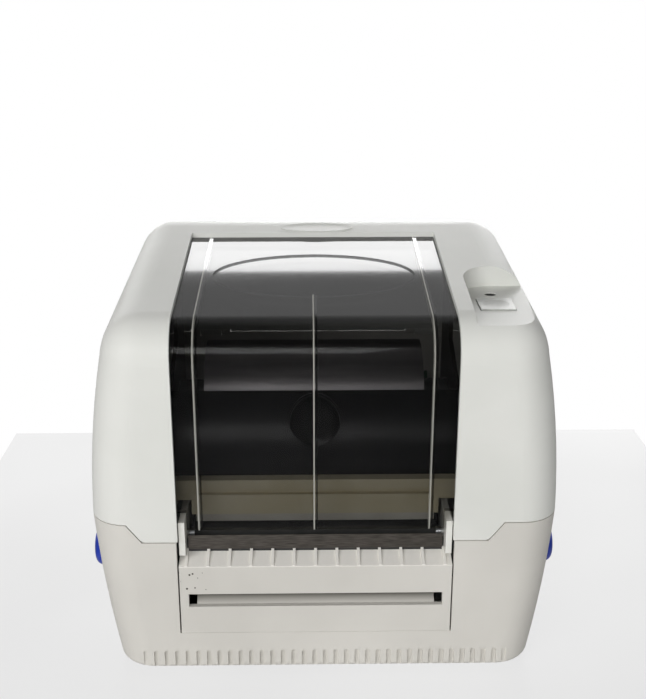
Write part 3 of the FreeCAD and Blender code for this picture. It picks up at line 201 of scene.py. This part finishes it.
def panel_dust_and_painted_light(tree, places, colour):
    """Front panel colour: painted shade in the depth of the liner slot, painted light that makes the ledge
    paler, and dust at its upper left.
    """
    axes = add(tree, "ShaderNodeSeparateXYZ", None, {"Vector": places})
    # painted shade darkens the depth of the liner slot, below the ledge
    depth = add(tree, "ShaderNodeMapRange",
                {"From Min": FRONT + SLOT_SHADE_START_DEPTH, "From Max": FRONT + SLOT_SHADE_FULL_DEPTH},
                {"Value": axes.outputs["Y"]})
    below = add(tree, "ShaderNodeMath", {"operation": "LESS_THAN", 1: LEDGE_UNDERSIDE},
                {0: axes.outputs["Z"]})
    inside = add(tree, "ShaderNodeMath", {"operation": "MULTIPLY"},
                 {0: depth.outputs["Result"], 1: below.outputs["Value"]})
    slot_painted_shade = add(tree, "ShaderNodeMix", {"data_type": "RGBA", "B": linear("#5f5c54")},
                 {"Factor": inside.outputs["Value"], "A": colour})
    # the ledge, where labels slide, is painted paler as painted light
    ledge = add(tree, "ShaderNodeMapRange", {"From Min": LEDGE_LIGHT_START, "From Max": LEDGE_LIGHT_FULL},
                {"Value": axes.outputs["Z"]})
    ledge_painted_light = add(tree, "ShaderNodeMix", {"data_type": "RGBA", "B": linear("#f3f0e9")},
                 {"Factor": ledge.outputs["Result"], "A": slot_painted_shade.outputs["Result"]})
    # dark specks, one to a cell, larger where a slow noise is high and only in the corner above the slot
    cells = add(tree, "ShaderNodeTexVoronoi", {"Scale": per_mm(2.4)}, {"Vector": places})
    clump = add(tree, "ShaderNodeTexNoise", {"Scale": per_mm(26.0), "Detail": 1.0}, {"Vector": places})
    size = add(tree, "ShaderNodeMapRange",
               {"From Min": 0.42, "From Max": 0.6, "To Min": 0.1, "To Max": 0.25},
               {"Value": clump.outputs["Fac"]})
    left = add(tree, "ShaderNodeMapRange", {"From Min": DUST_START, "From Max": DUST_FULL},
               {"Value": axes.outputs["X"]})
    high = add(tree, "ShaderNodeMath", {"operation": "COMPARE", 1: DUST_HEIGHT, 2: DUST_SPREAD},
               {0: axes.outputs["Z"]})
    corner = add(tree, "ShaderNodeMath", {"operation": "MULTIPLY"},
                 {0: left.outputs["Result"], 1: high.outputs["Value"]})
    reach = add(tree, "ShaderNodeMath", {"operation": "MULTIPLY"},
                {0: size.outputs["Result"], 1: corner.outputs["Value"]})
    speck = add(tree, "ShaderNodeMath", {"operation": "LESS_THAN"},
                {0: cells.outputs["Distance"], 1: reach.outputs["Value"]})
    dusty = add(tree, "ShaderNodeMix", {"data_type": "RGBA", "B": linear("#4a453c")},
                {"Factor": speck.outputs["Value"], "A": ledge_painted_light.outputs["Result"]})
    return dusty.outputs["Result"]


def smoked_acrylic():
    """Smoked acrylic, injection moulded: a dark see-through sheet with a wet gloss and cloudy haze."""
    material, tree, output, places = new_material("smoked_acrylic")
    haze = add(tree, "ShaderNodeTexNoise", {"Scale": per_mm(35.0), "Detail": 4.0}, {"Vector": places})
    smoke = add(tree, "ShaderNodeMapRange", {"To Min": 0.33, "To Max": 0.39},
                {"Value": haze.outputs["Fac"]})
    shine = add(tree, "ShaderNodeMapRange", {"To Min": 0.03, "To Max": 0.09},
                {"Value": haze.outputs["Fac"]})
    # distance across the nearest of the three raised ribs; the middle one ends at the oval dish
    axes = add(tree, "ShaderNodeSeparateXYZ", None, {"Vector": places})
    across = add(tree, "ShaderNodeMath", {"operation": "SUBTRACT", 1: WINDOW_MIDDLE},
                 {0: axes.outputs["X"]})
    nearest = add(tree, "ShaderNodeMath", {"operation": "WRAP", 1: RIB_PITCH / 2, 2: -RIB_PITCH / 2},
                  {0: across.outputs["Value"]})
    middle = add(tree, "ShaderNodeMath", {"operation": "COMPARE", 1: 0.0, 2: RIB_REACH},
                 {0: across.outputs["Value"]})
    behind = add(tree, "ShaderNodeMath", {"operation": "GREATER_THAN", 1: FRONT + OVAL_EDGE_DEPTH},
                 {0: axes.outputs["Y"]})
    ended = add(tree, "ShaderNodeMath", {"operation": "MULTIPLY"},
                {0: middle.outputs["Value"], 1: behind.outputs["Value"]})
    rib = add(tree, "ShaderNodeMath", {"operation": "ADD"},
              {0: nearest.outputs["Value"], 1: ended.outputs["Value"]})
    # one flank of a rib has a pale painted highlight line, and the other a black painted shade line
    pale = add(tree, "ShaderNodeMath", {"operation": "COMPARE", 1: PAINTED_HIGHLIGHT_FLANK[0], 2: PAINTED_HIGHLIGHT_FLANK[1]},
               {0: rib.outputs["Value"]})
    black = add(tree, "ShaderNodeMath", {"operation": "COMPARE", 1: PAINTED_SHADE_FLANK[0], 2: PAINTED_SHADE_FLANK[1]},
                {0: rib.outputs["Value"]})
    flank = add(tree, "ShaderNodeMath", {"operation": "MAXIMUM"},
                {0: pale.outputs["Value"], 1: black.outputs["Value"]})
    # the pale colour here is the painted highlight; both flanks are also made denser, which paints the dark
    # shade line
    colour = add(tree, "ShaderNodeMix",
                 {"data_type": "RGBA", "A": linear("#0a0a0a"), "B": linear("#b3b2aa")},
                 {"Factor": pale.outputs["Value"]})
    marked = add(tree, "ShaderNodeMath", {"operation": "MULTIPLY_ADD", 1: 0.34},
                 {0: flank.outputs["Value"], 2: smoke.outputs["Result"]})
    # seen along its face the tinted sheet is thicker to the eye and mirrors what stands behind it
    slant = add(tree, "ShaderNodeLayerWeight", {"Blend": 0.5})
    mirror = add(tree, "ShaderNodeMapRange", {"From Min": 0.36, "From Max": 0.58},
                 {"Value": slant.outputs["Facing"]})
    dense = add(tree, "ShaderNodeMath", {"operation": "MULTIPLY_ADD", 1: 0.34, "use_clamp": True},
                {0: mirror.outputs["Result"], 2: marked.outputs["Value"]})
    gloss = {"IOR": 1.49, "Specular IOR Level": 0.14, "Coat IOR": 1.7, "Coat Roughness": 0.03}
    shader = add(tree, "ShaderNodeBsdfPrincipled", gloss, {
        "Base Color": colour.outputs["Result"], "Alpha": dense.outputs["Value"],
        "Roughness": shine.outputs["Result"], "Coat Weight": mirror.outputs["Result"]})
    tree.links.new(shader.outputs["BSDF"], output.inputs["Surface"])
    return material


# moulded: pale and dull colour, grain and relief in millimetres, roughness, width of a cloud, gloss
# metal: pale and dull colour, spacing of the streaks in millimetres, roughness
FINISHES = {
    # ABS off a spark-eroded tool, pale warm grey: soft even sheen, grain drawn coarse enough to show
    "lid_abs": moulded("lid_abs", "#e6e6e1", "#dedfd9", 0.8, 0.05, 0.5, 70.0, 0.25),
    # the same ABS, from another batch and a little yellower
    "base_abs": moulded("base_abs", "#dbd8d1", "#d2cfc8", 0.8, 0.05, 0.52),
    # the base's ABS, with painted shade in the liner slot, painted light on the ledge and dust in a corner
    "panel_abs": moulded("panel_abs", "#d9d6cf", "#d0cdc6", 0.8, 0.05, 0.52, dust_and_painted_light=panel_dust_and_painted_light),
    # dark, glossy and see-through
    "smoked_acrylic": smoked_acrylic(),
    # grey key in ABS, rubbed smoother by fingers
    "key_abs": moulded("key_abs", "#bebfba", "#b2b3ae", 0.6, 0.03, 0.42, 9.0),
    # royal blue ABS with a polished dome
    "blue_abs": moulded("blue_abs", "#1f3fb4", "#17329a", 0.5, 0.02, 0.3, 12.0),
    # frosted lens of the status light, unlit: a dark dull spot
    "lens_polycarbonate": moulded("lens_polycarbonate", "#161815", "#101210", 0.4, 0.01, 0.5, 4.0, 0.1),
    # black glass-filled nylon, dry and slightly grey
    "black_nylon": moulded("black_nylon", "#1d1d1c", "#161616", 0.5, 0.04, 0.45, 25.0),
    # the same nylon, deeper black and smoother on the inner cover
    "cover_nylon": moulded("cover_nylon", "#0b0b0d", "#08080a", 0.6, 0.005, 0.32, 25.0, 0.4),
    # dark moulded ABS of the tray, a little dusty
    "tray_abs": moulded("tray_abs", "#3a3a38", "#2f2f2e", 0.7, 0.05, 0.5, 40.0),
    # acetal, white and waxy
    "white_acetal": moulded("white_acetal", "#e9e8e2", "#dfded7", 0.4, 0.02, 0.35, 20.0),
    # cream ABS, aged
    "cream_abs": moulded("cream_abs", "#d8cfb4", "#c9bf9f", 0.6, 0.03, 0.42, 30.0),
    # natural nylon of the gears, milky and greasy
    "natural_nylon": moulded("natural_nylon", "#dedac8", "#cfcab4", 0.4, 0.02, 0.36, 8.0),
    # zinc-plated rolled steel, pale with a blurred shine
    "zinc_steel": metal("zinc_steel", "#c3c5c7", "#a9abad", 0.5, 0.36),
    # browned spring steel of the tear edge, dark with drawn streaks
    "browned_steel": metal("browned_steel", "#69645f", "#4c4844", 0.4, 0.4),
    # moulded rubber, matt with a grey bloom
    "moulded_rubber": moulded("moulded_rubber", "#2c2c2b", "#212120", 0.5, 0.05, 0.7, 10.0, 0.35),
    # waxed film wound tight: a black drum with a broad, soft, nearly metallic highlight
    "wax_ribbon": metal("wax_ribbon", "#949091", "#817e7f", 6.0, 0.36),
    # solder-masked glass fibre board, green and satin
    "masked_board": moulded("masked_board", "#1f5a36", "#184a2c", 1.5, 0.03, 0.4, 6.0),
    # glazed ceramic of the print head, smooth and pale
    "glazed_ceramic": moulded("glazed_ceramic", "#cfccc2", "#c2bfb4", 0.5, 0.01, 0.22, 15.0),
}

WORN_BY = {
    "lid_abs": ["lid_shell"],
    "base_abs": ["base_housing"],
    "panel_abs": ["front_panel"],
    "smoked_acrylic": ["lid_window"],
    "key_abs": ["feed_button"],
    "blue_abs": ["release_button_left", "release_button_right"],
    "lens_polycarbonate": ["light_pipe"],
    "black_nylon": ["gap_sensor", "supply_spindle", "rewind_spindle", "head_cover", "power_inlet",
                    "switch_body", "power_rocker"],
    "tray_abs": ["media_tray", "rewind_core", "roll_holder_left", "roll_holder_right"],
    "white_acetal": ["bearing_plates"],
    "cream_abs": ["head_carriage"],
    "natural_nylon": ["platen_gear", "idler_gear", "motor_pinion"],
    "zinc_steel": ["base_screws", "hinge_pins", "platen_shaft", "motor_shaft", "gear_plate", "usb_socket",
                   "serial_socket"],
    "browned_steel": ["tear_bar", "motor_body", "ribbon_frame"],
    "moulded_rubber": ["rubber_feet", "platen_rubber"],
    "wax_ribbon": ["ribbon_roll"],
    "masked_board": ["key_board", "main_board"],
    "glazed_ceramic": ["print_head"],
}
for finish, names in WORN_BY.items():
    for name in names:
        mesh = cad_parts[name].data
        mesh.materials.clear()
        mesh.materials.append(FINISHES[finish])


def finish_piece(piece, name, finish, body):
    """Names a modelled piece, puts its place into its mesh, gives it its finish and its body."""
    piece.name = name
    bpy.ops.object.select_all(action="DESELECT")
    piece.select_set(True)
    bpy.context.view_layer.objects.active = piece
    bpy.ops.object.transform_apply(location=True, rotation=True, scale=True)
    bpy.ops.object.shade_smooth_by_angle(angle=SMOOTH_ANGLE)
    piece.data.materials.clear()
    piece.data.materials.append(FINISHES[finish])
    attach(piece, body)


def select_where(piece, test):
    """In edit mode, selects the faces whose centre passes a test."""
    bpy.ops.mesh.select_all(action="DESELECT")
    bpy.ops.object.mode_set(mode="OBJECT")
    for face in piece.data.polygons:
        face.select = test(face.center)
    bpy.ops.object.mode_set(mode="EDIT")


def apply_modifier(piece, kind, settings):
    """Adds a modifier with its settings and applies it."""
    change = piece.modifiers.new(kind.lower(), kind)
    for name, value in settings.items():
        setattr(change, name, value)
    bpy.context.view_layer.objects.active = piece
    bpy.ops.object.modifier_apply(modifier=change.name)


def bare_badge():
    """Bare oval badge on the lid's sloping top: a low cushion with a rounded rim."""
    bpy.ops.object.select_all(action="DESELECT")
    bpy.ops.mesh.primitive_circle_add(vertices=96, radius=1.0, fill_type="NGON")
    badge = bpy.context.object
    bpy.ops.object.mode_set(mode="EDIT")
    bpy.ops.mesh.select_all(action="SELECT")
    bpy.ops.transform.resize(value=(*BADGE_HALF_SIZES, 1))
    bpy.ops.mesh.extrude_region_move(TRANSFORM_OT_translate={"value": (0, 0, BADGE_EDGE)})
    for inset, rise in BADGE_RIM:
        bpy.ops.mesh.inset(thickness=inset)
        bpy.ops.transform.translate(value=(0, 0, rise))
    bpy.ops.object.mode_set(mode="OBJECT")
    badge.rotation_euler = (math.atan(LID_SLOPE), 0, 0)
    lid_top = LID_FRONT_HEIGHT + LID_SLOPE * BADGE_DEPTH
    badge.location = (WINDOW_MIDDLE + BADGE_OFFSET, FRONT + BADGE_DEPTH, lid_top - BADGE_SINK)
    finish_piece(badge, "bare_badge", "lid_abs", "lid")


def scoop_form(name, grow):
    """An upright egg at the cover's thumb scoop, grown by a margin."""
    bpy.ops.object.select_all(action="DESELECT")
    bpy.ops.mesh.primitive_uv_sphere_add(segments=48, ring_count=24, radius=1.0)
    egg = bpy.context.object
    egg.name = name
    bpy.ops.object.mode_set(mode="EDIT")
    bpy.ops.mesh.select_all(action="SELECT")
    bpy.ops.transform.resize(value=[half + grow for half in SCOOP_HALF_SIZES])
    bpy.ops.transform.translate(value=(WINDOW_MIDDLE, FRONT + SCOOP_DEPTH, SCOOP_HEIGHT))
    bpy.ops.object.mode_set(mode="OBJECT")
    return egg


def inner_cover():
    """Curved black cover over the ribbon rewind, open where the thumb scoop is sunk into its front."""
    bpy.ops.object.select_all(action="DESELECT")
    bpy.ops.mesh.primitive_plane_add(size=1)
    cover = bpy.context.object
    bpy.ops.object.mode_set(mode="EDIT")
    bpy.ops.mesh.select_all(action="SELECT")
    bpy.ops.transform.resize(value=(COVER_WIDTH, COVER_WALL, 1))
    # the strip starts a little below the arc's centre and turns up over it
    foot_depth, foot_height = COVER_FOOT
    bpy.ops.transform.translate(value=(WINDOW_MIDDLE, FRONT + foot_depth, foot_height))
    depth, height = COVER_CENTRE
    bpy.ops.mesh.spin(steps=COVER_STEPS, angle=COVER_TURN, center=(0, FRONT + depth, height), axis=(1, 0, 0))
    bpy.ops.mesh.select_all(action="SELECT")
    bpy.ops.mesh.remove_doubles(threshold=MERGE_DISTANCE)
    bpy.ops.mesh.normals_make_consistent(inside=False)
    bpy.ops.object.mode_set(mode="OBJECT")
    hollow = scoop_form("scoop_tool", 0)
    apply_modifier(cover, "BOOLEAN", {"operation": "DIFFERENCE", "object": hollow})
    bpy.data.objects.remove(hollow)
    finish_piece(cover, "inner_cover", "cover_nylon", "lid")
    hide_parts("head_cover")


def thumb_scoop():
    """The back half of the egg, as a thin cup behind the cover's opening."""
    cup = scoop_form("thumb_scoop", SCOOP_MARGIN)
    bpy.ops.object.mode_set(mode="EDIT")
    select_where(cup, lambda centre: centre.y < FRONT + SCOOP_DEPTH)
    bpy.ops.mesh.delete(type="FACE")
    bpy.ops.object.mode_set(mode="OBJECT")
    apply_modifier(cup, "SOLIDIFY", {"thickness": SCOOP_WALL, "offset": -1.0})
    finish_piece(cup, "thumb_scoop", "cover_nylon", "lid")


bare_badge()
inner_cover()
thumb_scoop()


def white_lacquer():
    """White lacquered table: pale, faintly glossy, lifted for the camera so that it reads as near white."""
    material, tree, output, places = new_material("white_lacquer")
    cloud = add(tree, "ShaderNodeTexNoise", {"Scale": per_mm(220.0), "Detail": 2.0}, {"Vector": places})
    colour = tint(tree, cloud.outputs["Fac"], "#e8e8e8", "#eeeeee")
    shader = add(tree, "ShaderNodeBsdfPrincipled", {"Roughness": 0.22, "IOR": 1.5}, {"Base Color": colour})
    lift = add(tree, "ShaderNodeEmission", {"Strength": 1.0}, {"Color": colour})
    rays = add(tree, "ShaderNodeLightPath")
    share = add(tree, "ShaderNodeMath", {"operation": "MULTIPLY", 1: 0.85},
                {0: rays.outputs["Is Camera Ray"]})
    mix = add(tree, "ShaderNodeMixShader", None, {
        "Fac": share.outputs["Value"], 1: shader.outputs["BSDF"], 2: lift.outputs["Emission"]})
    tree.links.new(mix.outputs["Shader"], output.inputs["Surface"])
    return material


def table_top(left, right, near, far):
    """The table's flat top between its edges."""
    bpy.ops.object.select_all(action="DESELECT")
    bpy.ops.mesh.primitive_plane_add(size=1)
    sheet = bpy.context.object
    corners = [(left, near, 0), (right, near, 0), (left, far, 0), (right, far, 0)]
    for vertex, corner in zip(sheet.data.vertices, corners):
        vertex.co = Vector(corner)
    sheet.name = "table_top"
    sheet.data.materials.append(white_lacquer())


table_top(left=-0.217, right=0.229, near=-1.6, far=0.141)


def softbox(name, place, target, width, height, power):
    """An even rectangular light at a place, turned to its target and hidden from the camera."""
    light = bpy.data.lights.new(name, "AREA")
    light.shape = "RECTANGLE"
    light.size = width
    light.size_y = height
    light.energy = power
    lamp = bpy.data.objects.new(name, light)
    lamp.location = place
    lamp.rotation_euler = (Vector(target) - Vector(place)).to_track_quat("-Z", "Y").to_euler()
    lamp.visible_camera = False
    bpy.context.scene.collection.objects.link(lamp)
    return lamp


FRONT_TARGET = (0, -0.05, 0.09)
softbox("front_left_softbox", (-0.62, -1.4, 0.78), FRONT_TARGET, width=1.7, height=0.5, power=19.5)
softbox("front_right_softbox", (0.95, -1.2, 0.45), FRONT_TARGET, width=0.6, height=0.6, power=1.6)
softbox("overhead_softbox", (0, 0.25, 1.3), (0, 0, 0.1), width=0.8, height=0.8, power=0.3)
# low behind the printer, so that its back is as plain to see as its front and the top is left alone
softbox("rear_fill", (0.25, 1.5, 0.3), (0, 0.1, 0.1), width=0.9, height=0.9, power=11)
# the lit backdrop, a long pane that only glossy faces show
glow = softbox("backdrop_glow", (0, 1.0, 0.476), (0, 0, 0.476), width=1.5, height=0.572, power=11)
glow.visible_diffuse = False


def white_room():
    """White to the camera; to glossy faces a pale backdrop and a dim front; soft light from the walls."""
    world = bpy.data.worlds.new("white_room")
    world.use_nodes = True
    bpy.context.scene.world = world
    tree = world.node_tree
    tree.nodes.clear()
    rays = add(tree, "ShaderNodeLightPath")
    direct = add(tree, "ShaderNodeMath", {"operation": "MAXIMUM"},
                 {0: rays.outputs["Is Camera Ray"], 1: rays.outputs["Is Glossy Ray"]})
    seen = add(tree, "ShaderNodeMath", {"operation": "MAXIMUM"},
               {0: direct.outputs["Value"], 1: rays.outputs["Is Transmission Ray"]})
    way = add(tree, "ShaderNodeTexCoord")
    axes = add(tree, "ShaderNodeSeparateXYZ", None, {"Vector": way.outputs["Generated"]})
    # the backdrop stands behind the printer, and the room before it is dim
    backdrop = add(tree, "ShaderNodeMapRange",
                   {"From Min": 0.1, "From Max": 0.75, "To Min": 0.1, "To Max": 0.45},
                   {"Value": axes.outputs["Y"]})
    shown = add(tree, "ShaderNodeMath", {"operation": "MAXIMUM"},
                {0: rays.outputs["Is Camera Ray"], 1: backdrop.outputs["Result"]})
    # the ceiling gives little light, so that faces turned up stay a tone darker
    walls = add(tree, "ShaderNodeMapRange",
                {"From Min": 0.15, "From Max": 0.8, "To Min": 0.3, "To Max": 0.06},
                {"Value": axes.outputs["Z"]})
    level = add(tree, "ShaderNodeMix", None, {
        "Factor": seen.outputs["Value"], "A": walls.outputs["Result"], "B": shown.outputs["Value"]})
    sky = add(tree, "ShaderNodeBackground", {"Color": (1, 1, 1, 1)}, {"Strength": level.outputs["Result"]})
    add(tree, "ShaderNodeOutputWorld", None, {"Surface": sky.outputs["Background"]})


def photo_view():
    """Camera at the photograph's viewing angle."""
    camera = bpy.data.cameras.new("photo_view")
    camera.sensor_fit = "HORIZONTAL"
    camera.sensor_width = SENSOR_WIDTH
    camera.lens = SENSOR_WIDTH * PHOTO_FOCAL / PHOTO_WIDTH
    camera.clip_start = 0.01
    viewer = bpy.data.objects.new("photo_view", camera)
    viewer.location = CAMERA_PLACE
    viewer.rotation_euler = (math.radians(90) - CAMERA_DIP, 0, CAMERA_TURN)
    bpy.context.scene.collection.objects.link(viewer)
    bpy.context.scene.camera = viewer


white_room()
photo_view()
bpy.context.scene.view_settings.view_transform = "Standard"
